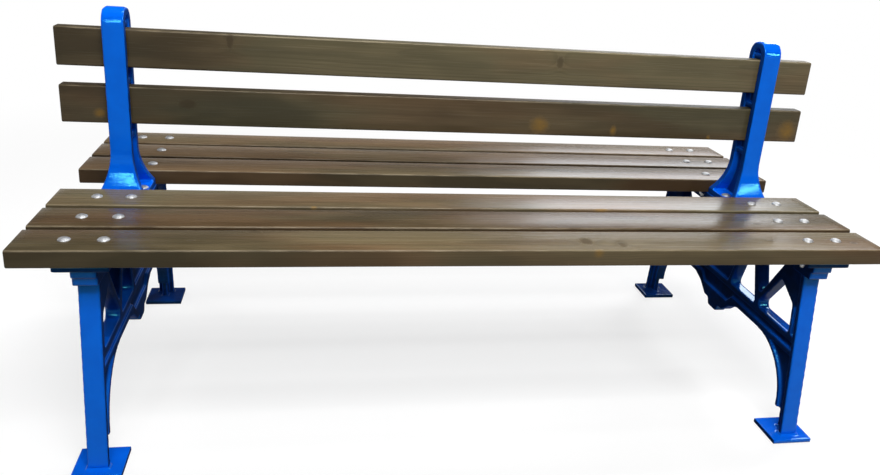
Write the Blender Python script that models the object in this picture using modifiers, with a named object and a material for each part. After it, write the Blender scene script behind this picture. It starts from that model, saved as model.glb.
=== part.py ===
"""Double-sided garden bench: two plank seats that share one upright back.

Two cast end frames carry six seat boards. A cast post stands on each frame, and
two back boards run through slots in the posts. Units are metres, +Z is up, X runs
along the boards, and the origin is on the floor under the middle of the bench.
"""
from math import asin, cos, pi, sin, tan

import bmesh
import bpy
from mathutils import Matrix, Vector

# Boards
BOARD_LENGTH = 1.600
BOARD_EDGE_RADIUS = 0.005
SEAT_HEIGHT = 0.440
SEAT_BOARD_WIDTH = 0.096
SEAT_BOARD_THICKNESS = 0.032
SEAT_BOARD_GAP = 0.015
CENTRE_GAP = 0.130
BACK_BOARD_HEIGHT = 0.0745
BACK_BOARD_THICKNESS = 0.032
BACK_BOARD_GAP = 0.0375
BACK_BOARD_RISE = 0.121

# End frames: top plate, rail and legs
END_OVERHANG = 0.110
PLATE_THICKNESS = 0.012
PLATE_SETBACK = 0.010
PLATE_MARGIN = 0.0055
CASTING_WIDTH = 0.028
LEG_WIDTH = 0.036
WEB_THICKNESS = 0.012
RAIL_DEPTH = 0.030
LEG_SETBACK = 0.042
LEG_SPLAY = 0.044
LEG_DEPTH = 0.034
LEG_FLANGE = 0.011
RIM = 0.009
CAPITAL_STEP_HEIGHT = 0.017
CAPITAL_REACH = 0.028
CAPITAL_STEP = 0.007

# End frames: truss, stretcher, keystone and brackets
TRUSS_HEIGHT = 0.144
COLUMN_FOOT_HALF = 0.063
COLUMN_HEAD_HALF = 0.109
COLUMN_RIM = 0.014
WINDOW_FOOT = 0.112
WINDOW_HEAD = 0.016
STRUT_WIDTH = 0.020
BRACE_FOOT_RISE = 0.015
BRACE_FOOT_DEPTH = 0.014
BRACE_HEAD_WIDTH = 0.036
ARCH_DROP = 0.045
ARCH_INSET = 0.048
GUSSET_DROP = 0.080
WINDOW_CORNER_RADIUS = 0.008
STRETCHER_HEIGHT = 0.044
STRETCHER_RIB = 0.0145
KEYSTONE_TOP_HALF = 0.108
KEYSTONE_SHOULDER_HALF = 0.076
KEYSTONE_SHOULDER_DROP = 0.012
KEYSTONE_WAIST_HALF = 0.045
KEYSTONE_WAIST_DROP = 0.036
KEYSTONE_TOOTH_HALF = 0.026
KEYSTONE_TIP_HALF = 0.020
KEYSTONE_DROP = 0.053
KEYSTONE_CORNER_RADIUS = 0.006
KEYSTONE_RECESS_HALF = 0.058
KEYSTONE_RECESS_DROP = 0.020
BRACKET_REACH = 0.120
BRACKET_FOOT_HEIGHT = 0.052
BRACKET_LIP = 0.010

# Foot plates
FOOT_WIDTH = 0.087
FOOT_LENGTH = 0.083
FOOT_THICKNESS = 0.009
FOOT_TOE = 0.018

# Back posts
POST_WIDTH = 0.041
POST_FLANGE = 0.016
POST_CROWN = 0.0405
POST_CROWN_RADIUS = 0.007
POST_FLARE_RISE = 0.068
POST_FOOT_THICKNESS = 0.014
POST_FOOT_CLEARANCE = 0.003
POST_FOOT_MARGIN = 0.005
POST_RIB = 0.013
POST_RIB_WIDTH = 0.034
POST_LOW_RIB_DROP = 0.022
SLOT_CLEARANCE = 0.001

# Bolts with washer and nut, and the screws of the back boards
BOLT_SPACING = 0.062
BOLT_RADIUS = 0.004
BOLT_HEAD_RADIUS = 0.0105
BOLT_HEAD_HEIGHT = 0.0048
BOLT_TAIL = 0.004
WASHER_RADIUS = 0.0085
WASHER_THICKNESS = 0.0016
NUT_RADIUS = 0.0075
NUT_HEIGHT = 0.0065
SCREW_RADIUS = 0.003
SCREW_HEAD_RADIUS = 0.0065
SCREW_HEAD_HEIGHT = 0.0035
SCREW_BITE = 0.022
HEAD_RIM_SHARE = 0.25

# Fits
CONTACT_GAP = 0.0003
HOLE_CLEARANCE = 0.0006
CAPITAL_CLEARANCE = 0.0015

# Facets
ROUND_SIDES = 10
ARC_STEPS = 10
CORNER_STEPS = 3
ROUNDED_SHARE = 0.45
SMOOTH_ANGLE = 0.7
MERGE_DISTANCE = 0.000005

# Places along the bench and across it
SIDES = {"front": -1, "rear": 1}
ENDS = {"left": -1, "right": 1}
SEAT_ROWS = ("inner", "middle", "outer")
BACK_ROWS = ("lower", "upper")
FRAME_X = BOARD_LENGTH / 2 - END_OVERHANG
ROW_PITCH = SEAT_BOARD_WIDTH + SEAT_BOARD_GAP
SEAT_EDGE = CENTRE_GAP / 2 + len(SEAT_ROWS) * ROW_PITCH - SEAT_BOARD_GAP
PLATE_END = SEAT_EDGE - PLATE_SETBACK
PLATE_WIDTH = BOLT_SPACING + 2 * (WASHER_RADIUS + PLATE_MARGIN)
LEG_HEAD = PLATE_END - LEG_SETBACK

# Heights
PLATE_TOP = SEAT_HEIGHT - SEAT_BOARD_THICKNESS - CONTACT_GAP
PLATE_BOTTOM = PLATE_TOP - PLATE_THICKNESS
PLATE_MIDDLE = PLATE_TOP - PLATE_THICKNESS / 2
RAIL_BOTTOM = PLATE_BOTTOM - RAIL_DEPTH
STRETCHER_TOP = RAIL_BOTTOM - TRUSS_HEIGHT
STRETCHER_BOTTOM = STRETCHER_TOP - STRETCHER_HEIGHT
GUSSET_FOOT = RAIL_BOTTOM - GUSSET_DROP
LEG_BOTTOM = FOOT_THICKNESS + CONTACT_GAP
POST_BOTTOM = PLATE_TOP + CONTACT_GAP
POST_FOOT_TOP = POST_BOTTOM + POST_FOOT_THICKNESS
POST_FLARE_TOP = SEAT_HEIGHT + POST_FLARE_RISE
BACK_BOTTOMS = [SEAT_HEIGHT + BACK_BOARD_RISE + row * (BACK_BOARD_HEIGHT + BACK_BOARD_GAP)
                for row in range(len(BACK_ROWS))]
POST_TOP = BACK_BOTTOMS[-1] + BACK_BOARD_HEIGHT + POST_CROWN

# Lines inside the front flange of a leg, as shares of its depth
FLANGE_ROOT = 1 / 3
RECESS_EDGE = 2 / 3

# Half sizes of the posts
SLOT_HALF = BACK_BOARD_THICKNESS / 2 + SLOT_CLEARANCE
POST_HALF_DEPTH = SLOT_HALF + POST_FLANGE
POST_FOOT_HALF_DEPTH = CENTRE_GAP / 2 - POST_FOOT_CLEARANCE
POST_FOOT_HALF_WIDTH = BOLT_SPACING / 2 + WASHER_RADIUS + POST_FOOT_MARGIN


def clear_scene():
    """Remove every object of the scene that the script starts in."""
    for scene_object in list(bpy.data.objects):
        bpy.data.objects.remove(scene_object, do_unlink=True)


def new_collection(name):
    """Add a collection to the scene."""
    collection = bpy.data.collections.new(name)
    bpy.context.scene.collection.children.link(collection)
    return collection


def new_material(name, colour, roughness, metallic):
    """Make a Principled material."""
    material = bpy.data.materials.new(name)
    material.use_nodes = True
    shader = material.node_tree.nodes["Principled BSDF"]
    shader.inputs["Base Color"].default_value = (*colour, 1.0)
    shader.inputs["Roughness"].default_value = roughness
    shader.inputs["Metallic"].default_value = metallic
    material.diffuse_color = (*colour, 1.0)
    return material


clear_scene()
BENCH = new_collection("double_sided_garden_bench")
CUTTERS = new_collection("cutters")
BLUE_ENAMEL = new_material("blue_enamel", (0.002, 0.115, 0.70), 0.22, 0.0)
STAINED_WOOD = new_material("stained_wood", (0.060, 0.042, 0.024), 0.42, 0.0)
BRIGHT_ZINC = new_material("bright_zinc", (0.72, 0.73, 0.74), 0.28, 1.0)


def part_object(name, mesh, material):
    """Place a mesh in the bench as a named part."""
    part = bpy.data.objects.new(name, mesh)
    BENCH.objects.link(part)
    mesh.materials.clear()
    mesh.materials.append(material)
    mesh.shade_smooth()
    mesh.set_sharp_from_angle(angle=SMOOTH_ANGLE)
    return part


def tool_object(name, mesh):
    """Place a mesh among the cutters, out of the model."""
    tool = bpy.data.objects.new(name, mesh)
    CUTTERS.objects.link(tool)
    tool.hide_render = True
    tool.display_type = "WIRE"
    return tool


def boolean(target, tool, operation):
    """Cut a tool out of a part, join it on, or keep what both share."""
    modifier = target.modifiers.new(tool.name, "BOOLEAN")
    modifier.operation = operation
    modifier.solver = "EXACT"
    modifier.object = tool


def is_level(face):
    """Say whether all corners of a face have the same height."""
    heights = [vert.co.z for vert in face.verts]
    return max(heights) - min(heights) < MERGE_DISTANCE


def evaluated_mesh(source, level_faces_whole):
    """Return a copy of an object's evaluated mesh, with doubles merged and, if asked, level faces whole."""
    depsgraph = bpy.context.evaluated_depsgraph_get()
    mesh = bpy.data.meshes.new_from_object(source.evaluated_get(depsgraph))
    edit = bmesh.new()
    edit.from_mesh(mesh)
    bmesh.ops.remove_doubles(edit, verts=edit.verts, dist=MERGE_DISTANCE)
    if level_faces_whole:
        bmesh.ops.dissolve_faces(edit, faces=[face for face in edit.faces if is_level(face)])
    edit.to_mesh(mesh)
    edit.free()
    return mesh


# Local X, Y and Z of an outline drawn across each axis
ACROSS_X = Matrix(((0, 0, 1, 0), (1, 0, 0, 0), (0, 1, 0, 0), (0, 0, 0, 1)))
ACROSS_Y = Matrix(((1, 0, 0, 0), (0, 0, -1, 0), (0, 1, 0, 0), (0, 0, 0, 1)))


def slab_mesh(name, outlines, half_thickness, across, centre):
    """Extrude flat outlines, which stay clear of each other, to both sides of their plane."""
    curve = bpy.data.curves.new(name, "CURVE")
    curve.dimensions = "2D"
    curve.fill_mode = "BOTH"
    curve.extrude = half_thickness
    for outline in outlines:
        spline = curve.splines.new("POLY")
        spline.points.add(len(outline) - 1)
        for point, place in zip(spline.points, outline):
            point.co = (place[0], place[1], 0.0, 1.0)
        spline.use_cyclic_u = True
    drawing = bpy.data.objects.new(name, curve)
    CUTTERS.objects.link(drawing)
    mesh = evaluated_mesh(drawing, True)
    mesh.transform(Matrix.Translation(centre) @ across)
    bpy.data.objects.remove(drawing, do_unlink=True)
    return mesh


def box_mesh(name, low, high):
    """Make a box between two corners."""
    size = Vector(high) - Vector(low)
    middle = (Vector(high) + Vector(low)) / 2
    placing = Matrix.Translation(middle) @ Matrix.Diagonal((*size, 1.0))
    edit = bmesh.new()
    bmesh.ops.create_cube(edit, size=1.0, matrix=placing)
    mesh = bpy.data.meshes.new(name)
    edit.to_mesh(mesh)
    edit.free()
    return mesh


def pegs_mesh(name, radius, length, places, turn):
    """Make a group of round pegs, one centred on each place."""
    edit = bmesh.new()
    for place in places:
        bmesh.ops.create_cone(edit, cap_ends=True, segments=ROUND_SIDES, radius1=radius, radius2=radius,
                              depth=length, matrix=Matrix.Translation(place) @ turn)
    mesh = bpy.data.meshes.new(name)
    edit.to_mesh(mesh)
    edit.free()
    return mesh


def rounded_corner(before, corner, after, radius):
    """Round one corner of an outline, as far as its two sides are long enough."""
    here = Vector(corner)
    back = Vector(before) - here
    ahead = Vector(after) - here
    reach = min(radius / tan(back.angle(ahead) / 2), ROUNDED_SHARE * min(back.length, ahead.length))
    start = here + back.normalized() * reach
    end = here + ahead.normalized() * reach
    shares = [step / CORNER_STEPS for step in range(CORNER_STEPS + 1)]
    return [start.lerp(here, share).lerp(here.lerp(end, share), share) for share in shares]


def rounded(corners, radius):
    """Round each corner of a closed outline."""
    points = []
    for index, corner in enumerate(corners):
        after = corners[(index + 1) % len(corners)]
        points += rounded_corner(corners[index - 1], corner, after, radius)
    return points


def rounded_path(corners, radius):
    """Round the corners of an open line between its two ends."""
    points = [corners[0]]
    for before, corner, after in zip(corners, corners[1:], corners[2:]):
        points += rounded_corner(before, corner, after, radius)
    return points + [corners[-1]]


def mirrored(outline):
    """Return an outline on the other side of the middle plane, in the same turning sense."""
    return [(-place[0], place[1]) for place in reversed(outline)]


def both_sides(outlines):
    """Return outlines together with their mirror images."""
    return outlines + [mirrored(outline) for outline in outlines]


def seat_row_y(side, row):
    """Middle of a seat board, counted from the back outwards."""
    return SIDES[side] * (CENTRE_GAP / 2 + SEAT_BOARD_WIDTH / 2 + row * ROW_PITCH)


def bolt_columns(end):
    """The two X places of the bolts at one end of the bench."""
    middle = ENDS[end] * FRAME_X
    return [middle - BOLT_SPACING / 2, middle + BOLT_SPACING / 2]


# Lines of the end frame, as distances from the middle plane at a height
def leg_front(height):
    """Front face of the leg, which leans outwards to the floor."""
    return LEG_HEAD + LEG_SPLAY * (RAIL_BOTTOM - height) / RAIL_BOTTOM


def leg_rear(height):
    """Rear face of the leg."""
    return leg_front(height) - LEG_DEPTH


def truss_line(foot, head, height):
    """Distance of a strut's edge at a height between stretcher and rail."""
    return foot + (head - foot) * (height - STRETCHER_TOP) / TRUSS_HEIGHT


def strut_inner(height):
    """Edge of the strut that faces the middle column."""
    return truss_line(COLUMN_FOOT_HALF + WINDOW_FOOT, COLUMN_HEAD_HALF + WINDOW_HEAD, height)


def strut_outer(height):
    """Edge of the strut that faces the leg."""
    return strut_inner(height) + STRUT_WIDTH


def bracket_arc(inset):
    """Quarter round from the leg up to the underside of the stretcher, moved into the metal."""
    middle = leg_rear(BRACKET_FOOT_HEIGHT) - BRACKET_LIP - BRACKET_REACH
    across = BRACKET_REACH + inset
    rise = STRETCHER_BOTTOM - BRACKET_FOOT_HEIGHT
    last_turn = asin(rise / (rise + inset))
    points = []
    for step in range(ARC_STEPS + 1):
        turn = last_turn * step / ARC_STEPS
        height = BRACKET_FOOT_HEIGHT + (rise + inset) * sin(turn)
        points.append((middle + across * cos(turn), height))
    return points


def in_flange(height, share):
    """Distance of a line that runs inside the front flange of the leg, at a share of its depth."""
    return leg_front(height) - share * LEG_FLANGE


def keystone_outline():
    """Near half of the keystone that hangs from the stretcher, ending at the middle plane."""
    corners = [
        (KEYSTONE_TOP_HALF, STRETCHER_BOTTOM),
        (KEYSTONE_SHOULDER_HALF, STRETCHER_BOTTOM - KEYSTONE_SHOULDER_DROP),
        (KEYSTONE_WAIST_HALF, STRETCHER_BOTTOM - KEYSTONE_WAIST_DROP),
        (KEYSTONE_TOOTH_HALF, STRETCHER_BOTTOM - KEYSTONE_WAIST_DROP),
        (KEYSTONE_TIP_HALF, STRETCHER_BOTTOM - KEYSTONE_DROP),
        (0.0, STRETCHER_BOTTOM - KEYSTONE_DROP),
    ]
    return rounded_path(corners, KEYSTONE_CORNER_RADIUS)[:-1]


def frame_silhouette():
    """Outer outline of the casting below the top plate, without the front flanges of the legs."""
    half = [(in_flange(PLATE_MIDDLE, FLANGE_ROOT), PLATE_MIDDLE)]
    half += [(in_flange(LEG_BOTTOM, FLANGE_ROOT), LEG_BOTTOM), (leg_rear(LEG_BOTTOM), LEG_BOTTOM)]
    half += [(leg_rear(BRACKET_FOOT_HEIGHT), BRACKET_FOOT_HEIGHT)]
    half += bracket_arc(0.0)
    half += keystone_outline()
    return half + mirrored(half)


def leg_flange_outline():
    """Front flange of a leg, which is wider than the rest of the casting."""
    return [
        (in_flange(PLATE_MIDDLE, 0.0), PLATE_MIDDLE),
        (in_flange(PLATE_MIDDLE, 1.0), PLATE_MIDDLE),
        (in_flange(LEG_BOTTOM, 1.0), LEG_BOTTOM),
        (in_flange(LEG_BOTTOM, 0.0), LEG_BOTTOM),
    ]


def frame_windows():
    """Openings of the truss in one half of the frame."""
    brace_foot = STRETCHER_TOP + BRACE_FOOT_RISE
    brace_top = brace_foot + BRACE_FOOT_DEPTH
    arch_top = RAIL_BOTTOM - ARCH_DROP
    inner = [
        (COLUMN_FOOT_HALF, STRETCHER_TOP),
        (strut_inner(STRETCHER_TOP), STRETCHER_TOP),
        (strut_inner(RAIL_BOTTOM), RAIL_BOTTOM),
        (COLUMN_HEAD_HALF, RAIL_BOTTOM),
    ]
    upper = [
        (strut_outer(brace_top), brace_top),
        (leg_rear(RAIL_BOTTOM) - BRACE_HEAD_WIDTH, RAIL_BOTTOM),
        (strut_outer(RAIL_BOTTOM), RAIL_BOTTOM),
    ]
    outer = [
        (strut_outer(STRETCHER_TOP), STRETCHER_TOP),
        (leg_rear(STRETCHER_TOP), STRETCHER_TOP),
        (leg_rear(GUSSET_FOOT), GUSSET_FOOT),
        (leg_rear(arch_top) - ARCH_INSET, arch_top),
        (strut_outer(brace_foot), brace_foot),
    ]
    return [rounded(window, WINDOW_CORNER_RADIUS) for window in (inner, upper, outer)]


def frame_recesses():
    """Outlines where the casting is sunk to its web on both faces."""
    below_leg = LEG_BOTTOM - RIM
    panel_arc = bracket_arc(RIM)
    panel = [
        (in_flange(STRETCHER_BOTTOM, RECESS_EDGE), STRETCHER_BOTTOM),
        (in_flange(below_leg, RECESS_EDGE), below_leg),
        (panel_arc[0][0], below_leg),
    ] + panel_arc
    leg_groove = [
        (leg_rear(STRETCHER_TOP) + RIM, STRETCHER_TOP),
        (in_flange(STRETCHER_TOP, RECESS_EDGE), STRETCHER_TOP),
        (in_flange(GUSSET_FOOT, RECESS_EDGE), GUSSET_FOOT),
        (leg_rear(GUSSET_FOOT) + RIM, GUSSET_FOOT),
    ]
    rib_top = STRETCHER_BOTTOM + STRETCHER_RIB
    rib_under = STRETCHER_TOP - STRETCHER_RIB
    channel_half = [
        (in_flange(rib_under, RECESS_EDGE), rib_under),
        (in_flange(rib_top, RECESS_EDGE), rib_top),
        (KEYSTONE_RECESS_HALF + KEYSTONE_RECESS_DROP, rib_top),
        (KEYSTONE_RECESS_HALF, rib_top - KEYSTONE_RECESS_DROP),
    ]
    channel = channel_half + mirrored(channel_half)
    column_half = [
        (COLUMN_HEAD_HALF - COLUMN_RIM, RAIL_BOTTOM),
        (COLUMN_FOOT_HALF - COLUMN_RIM, STRETCHER_TOP),
    ]
    column = rounded(column_half + mirrored(column_half), WINDOW_CORNER_RADIUS)
    return both_sides([panel, leg_groove]) + [channel, column]


def capital_outline():
    """Stepped moulding at the head of the leg."""
    front = LEG_HEAD + CAPITAL_REACH
    rear = leg_rear(PLATE_BOTTOM)
    step = PLATE_BOTTOM - CAPITAL_STEP_HEIGHT
    bottom = step - CAPITAL_STEP_HEIGHT
    return [
        (rear, PLATE_MIDDLE),
        (front, PLATE_MIDDLE),
        (front, step),
        (front - CAPITAL_STEP, step),
        (front - CAPITAL_STEP, bottom),
        (rear, bottom),
    ]


def seat_bolt_places(end, height):
    """Places of the seat bolts at one end, at a height."""
    return [(x, seat_row_y(side, row), height)
            for side in SIDES for row in range(len(SEAT_ROWS)) for x in bolt_columns(end)]


def post_bolt_places(end, height):
    """Places of the two bolts in the foot of a post, at a height."""
    return [(x, 0.0, height) for x in bolt_columns(end)]


def back_screw_places(end, depth):
    """Places of the screws of the back boards at one post, at a Y place."""
    return [(ENDS[end] * FRAME_X, depth, bottom + BACK_BOARD_HEIGHT / 2) for bottom in BACK_BOTTOMS]


UPRIGHT = Matrix.Identity(4)
LYING_ALONG_Y = Matrix.Rotation(pi / 2, 4, "X")
BOLT_HOLE_RADIUS = (BOLT_RADIUS + HOLE_CLEARANCE) / cos(pi / ROUND_SIDES)
SCREW_HOLE_RADIUS = (SCREW_RADIUS + HOLE_CLEARANCE) / cos(pi / ROUND_SIDES)
SCREW_TIP = BACK_BOARD_THICKNESS / 2 - SCREW_BITE
SCREW_HOLE_LENGTH = 2 * POST_HALF_DEPTH


def bolt_hole_cutters(end):
    """Pegs that drill the bolt holes of one end through boards, plate and post foot."""
    reach = 2 * (SEAT_BOARD_THICKNESS + PLATE_THICKNESS + POST_FOOT_THICKNESS)
    places = seat_bolt_places(end, PLATE_TOP) + post_bolt_places(end, PLATE_TOP)
    mesh = pegs_mesh("bolt_holes", BOLT_HOLE_RADIUS, reach, places, UPRIGHT)
    return tool_object("bolt_holes_" + end, mesh)


def screw_hole_cutters(end):
    """Pegs that drill the rear flange of a post and the blind holes of the back boards."""
    middle = SCREW_TIP - CONTACT_GAP + SCREW_HOLE_LENGTH / 2
    places = back_screw_places(end, middle)
    mesh = pegs_mesh("screw_holes", SCREW_HOLE_RADIUS, SCREW_HOLE_LENGTH, places, LYING_ALONG_Y)
    return tool_object("screw_holes_" + end, mesh)


BOLT_HOLES = {end: bolt_hole_cutters(end) for end in ENDS}
SCREW_HOLES = {end: screw_hole_cutters(end) for end in ENDS}


def make_end_frame(end):
    """Cast end frame with its top plate."""
    centre = (ENDS[end] * FRAME_X, 0.0, 0.0)
    casting = slab_mesh("end_frame", [frame_silhouette()], CASTING_WIDTH / 2, ACROSS_X, centre)
    frame = part_object("end_frame_" + end, casting, BLUE_ENAMEL)
    windows = slab_mesh("windows", both_sides(frame_windows()), CASTING_WIDTH, ACROSS_X, centre)
    boolean(frame, tool_object("windows_" + end, windows), "DIFFERENCE")
    sink = (CASTING_WIDTH - WEB_THICKNESS) / 2
    for face in (-1, 1):
        place = (centre[0] + face * (WEB_THICKNESS / 2 + sink), 0.0, 0.0)
        recess = slab_mesh("recess", frame_recesses(), sink, ACROSS_X, place)
        boolean(frame, tool_object("recess_" + end, recess), "DIFFERENCE")
    flanges = slab_mesh("leg_flanges", both_sides([leg_flange_outline()]), LEG_WIDTH / 2, ACROSS_X, centre)
    boolean(frame, tool_object("leg_flanges_" + end, flanges), "UNION")
    capital_half = BOLT_SPACING / 2 - WASHER_RADIUS - CAPITAL_CLEARANCE
    capitals = slab_mesh("capitals", both_sides([capital_outline()]), capital_half, ACROSS_X, centre)
    boolean(frame, tool_object("capitals_" + end, capitals), "UNION")
    plate = box_mesh("plate", (centre[0] - PLATE_WIDTH / 2, -PLATE_END, PLATE_BOTTOM),
                     (centre[0] + PLATE_WIDTH / 2, PLATE_END, PLATE_TOP))
    boolean(frame, tool_object("plate_" + end, plate), "UNION")
    boolean(frame, BOLT_HOLES[end], "DIFFERENCE")


def make_foot_plate(end, side):
    """Flat plate under a leg."""
    middle = ENDS[end] * FRAME_X
    toe = leg_front(LEG_BOTTOM) + FOOT_TOE
    across = sorted((SIDES[side] * toe, SIDES[side] * (toe - FOOT_LENGTH)))
    mesh = box_mesh("foot_plate", (middle - FOOT_WIDTH / 2, across[0], 0.0),
                    (middle + FOOT_WIDTH / 2, across[1], FOOT_THICKNESS))
    part_object("foot_plate_%s_%s" % (side, end), mesh, BLUE_ENAMEL)


def flare(upper_half, foot_half, height):
    """Half size of a post at a height: straight above, spreading as a parabola to the foot."""
    share = max(0.0, (POST_FLARE_TOP - height) / (POST_FLARE_TOP - POST_FOOT_TOP))
    return upper_half + (foot_half - upper_half) * min(1.0, share) ** 2


def post_sides(upper_half, foot_half, bottom):
    """Right side of a post's outline, from a height up to where the flare ends."""
    heights = [bottom] if bottom < POST_FOOT_TOP else []
    heights += [POST_FOOT_TOP + (POST_FLARE_TOP - POST_FOOT_TOP) * step / ARC_STEPS
                for step in range(ARC_STEPS + 1)]
    return [(flare(upper_half, foot_half, height), height) for height in heights]


def post_profile(inset, bottom):
    """Side outline of a post, moved into the metal by an inset: flared foot and round top."""
    radius = POST_HALF_DEPTH - inset
    half = post_sides(radius, POST_FOOT_HALF_DEPTH - inset, bottom)
    middle = POST_TOP - POST_HALF_DEPTH
    for step in range(ARC_STEPS):
        turn = pi / 2 * step / ARC_STEPS
        half.append((radius * cos(turn), middle + radius * sin(turn)))
    return half + [(0.0, middle + radius)] + mirrored(half)


def post_front_outline():
    """Front outline of a post: flared foot, straight stem and eased top corners."""
    half = post_sides(POST_WIDTH / 2, POST_FOOT_HALF_WIDTH, POST_BOTTOM)
    top = POST_TOP + POST_CROWN_RADIUS * (1 - cos(pi / 4))
    stem = POST_WIDTH / 2
    half += [(stem, top - POST_CROWN_RADIUS), (stem - POST_CROWN_RADIUS, top)]
    return half + mirrored(half)


def post_rib_middles():
    """Heights of the ribs: one above each back board and one below the lowest."""
    above = [bottom + BACK_BOARD_HEIGHT + SLOT_CLEARANCE + POST_RIB / 2 for bottom in BACK_BOTTOMS]
    return [BACK_BOTTOMS[0] - POST_LOW_RIB_DROP - POST_RIB / 2] + above


def post_web_outlines():
    """Web panels of a post, set into its flanges: below, between and above the slots."""
    ribs = post_rib_middles()
    half_set = SLOT_HALF + POST_FLANGE / 2
    foot = POST_BOTTOM + POST_FOOT_THICKNESS / 2
    low_half = post_sides(half_set, POST_FOOT_HALF_DEPTH - POST_FLANGE / 2, foot)
    low_half.append((half_set, BACK_BOTTOMS[0] - CONTACT_GAP))
    panels = [low_half + mirrored(low_half)]
    tops = [bottom - CONTACT_GAP for bottom in BACK_BOTTOMS[1:]]
    for low, high in zip(ribs[1:], tops):
        panels.append([(half_set, low), (half_set, high), (-half_set, high), (-half_set, low)])
    crown = POST_TOP - POST_FLANGE / 2
    crown_half = SLOT_HALF / 2
    panels.append([(crown_half, crown), (-crown_half, crown), (-half_set, ribs[-1]), (half_set, ribs[-1])])
    return panels


def make_back_post(end):
    """Cast post with two flanges, a recessed web, ribs and slots for the back boards."""
    centre = (ENDS[end] * FRAME_X, 0.0, 0.0)
    profile = [post_profile(0.0, POST_BOTTOM)]
    block = slab_mesh("back_post", profile, 2 * POST_FOOT_HALF_WIDTH, ACROSS_X, centre)
    post = part_object("back_post_" + end, block, BLUE_ENAMEL)
    front = slab_mesh("front", [post_front_outline()], 2 * POST_FOOT_HALF_DEPTH, ACROSS_Y, centre)
    boolean(post, tool_object("post_front_" + end, front), "INTERSECT")
    hollow = [post_profile(POST_FLANGE, POST_FOOT_TOP)]
    between = slab_mesh("between_flanges", hollow, 2 * POST_FOOT_HALF_WIDTH, ACROSS_X, centre)
    boolean(post, tool_object("between_flanges_" + end, between), "DIFFERENCE")
    web = slab_mesh("web", post_web_outlines(), WEB_THICKNESS / 2, ACROSS_X, centre)
    boolean(post, tool_object("post_web_" + end, web), "UNION")
    half_width = POST_RIB_WIDTH / 2
    rib_outlines = []
    for middle in post_rib_middles():
        low = middle - POST_RIB / 2
        high = middle + POST_RIB / 2
        corners = [(-half_width, low), (half_width, low), (half_width, high), (-half_width, high)]
        rib_outlines.append(rounded(corners, POST_RIB / 2))
    ribs = slab_mesh("ribs", rib_outlines, SLOT_HALF + POST_FLANGE / 2, ACROSS_Y, centre)
    boolean(post, tool_object("post_ribs_" + end, ribs), "UNION")
    boolean(post, BOLT_HOLES[end], "DIFFERENCE")
    boolean(post, SCREW_HOLES[end], "DIFFERENCE")


def make_board(name, low, high, holes):
    """Board with eased edges, drilled for its fasteners."""
    board = part_object(name, box_mesh(name, low, high), STAINED_WOOD)
    easing = board.modifiers.new("eased_edges", "BEVEL")
    easing.width = BOARD_EDGE_RADIUS
    easing.segments = CORNER_STEPS
    for end in ENDS:
        boolean(board, holes[end], "DIFFERENCE")


def make_seat_boards():
    """Three boards on each side of the back."""
    for side in SIDES:
        for row, row_name in enumerate(SEAT_ROWS):
            middle = seat_row_y(side, row)
            low = (-BOARD_LENGTH / 2, middle - SEAT_BOARD_WIDTH / 2, SEAT_HEIGHT - SEAT_BOARD_THICKNESS)
            high = (BOARD_LENGTH / 2, middle + SEAT_BOARD_WIDTH / 2, SEAT_HEIGHT)
            make_board("seat_board_%s_%s" % (side, row_name), low, high, BOLT_HOLES)


def make_back_boards():
    """Two boards that run through the posts."""
    for row_name, bottom in zip(BACK_ROWS, BACK_BOTTOMS):
        low = (-BOARD_LENGTH / 2, -BACK_BOARD_THICKNESS / 2, bottom)
        high = (BOARD_LENGTH / 2, BACK_BOARD_THICKNESS / 2, bottom + BACK_BOARD_HEIGHT)
        make_board("back_board_" + row_name, low, high, SCREW_HOLES)


def turned_mesh(name, profile):
    """Turn a profile of radius and height, listed from top to bottom, about Z."""
    mesh = bpy.data.meshes.new(name)
    edges = [(index, index + 1) for index in range(len(profile) - 1)]
    mesh.from_pydata([(radius, 0.0, height) for radius, height in profile], edges, [])
    blank = tool_object(name, mesh)
    screw = blank.modifiers.new("turned", "SCREW")
    screw.angle = 2 * pi
    screw.steps = ROUND_SIDES
    screw.render_steps = ROUND_SIDES
    screw.use_merge_vertices = True
    screw.merge_threshold = MERGE_DISTANCE
    turned = evaluated_mesh(blank, False)
    bpy.data.objects.remove(blank, do_unlink=True)
    return turned


def head_profile(radius, height):
    """Low dome of a bolt or screw head on a straight rim, standing just clear of its seat."""
    rim = HEAD_RIM_SHARE * height
    turns = [pi / 2 * step / CORNER_STEPS for step in range(CORNER_STEPS)]
    dome = [(radius * sin(turn), rim + (height - rim) * cos(turn)) for turn in turns]
    return dome + [(radius, rim), (radius, CONTACT_GAP)]


def bolt_mesh(name, grip):
    """Domed bolt through a grip, with a washer and a hexagon nut run home under it."""
    washer_top = -grip - CONTACT_GAP
    washer_bottom = washer_top - WASHER_THICKNESS
    nut_bottom = washer_bottom - NUT_HEIGHT
    profile = head_profile(BOLT_HEAD_RADIUS, BOLT_HEAD_HEIGHT) + [
        (BOLT_RADIUS, CONTACT_GAP),
        (BOLT_RADIUS, washer_top),
        (WASHER_RADIUS, washer_top),
        (WASHER_RADIUS, washer_bottom),
        (BOLT_RADIUS, washer_bottom),
        (BOLT_RADIUS, nut_bottom - BOLT_TAIL),
        (0.0, nut_bottom - BOLT_TAIL),
    ]
    blank = tool_object(name + "_blank", turned_mesh(name, profile))
    nut_top = washer_bottom + WASHER_THICKNESS / 2
    edit = bmesh.new()
    bmesh.ops.create_cone(edit, cap_ends=True, segments=6, radius1=NUT_RADIUS, radius2=NUT_RADIUS,
                          depth=nut_top - nut_bottom,
                          matrix=Matrix.Translation((0.0, 0.0, (nut_top + nut_bottom) / 2)))
    nut = bpy.data.meshes.new(name + "_nut")
    edit.to_mesh(nut)
    edit.free()
    boolean(blank, tool_object(name + "_nut", nut), "UNION")
    mesh = evaluated_mesh(blank, False)
    bpy.data.objects.remove(blank, do_unlink=True)
    return mesh


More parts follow.
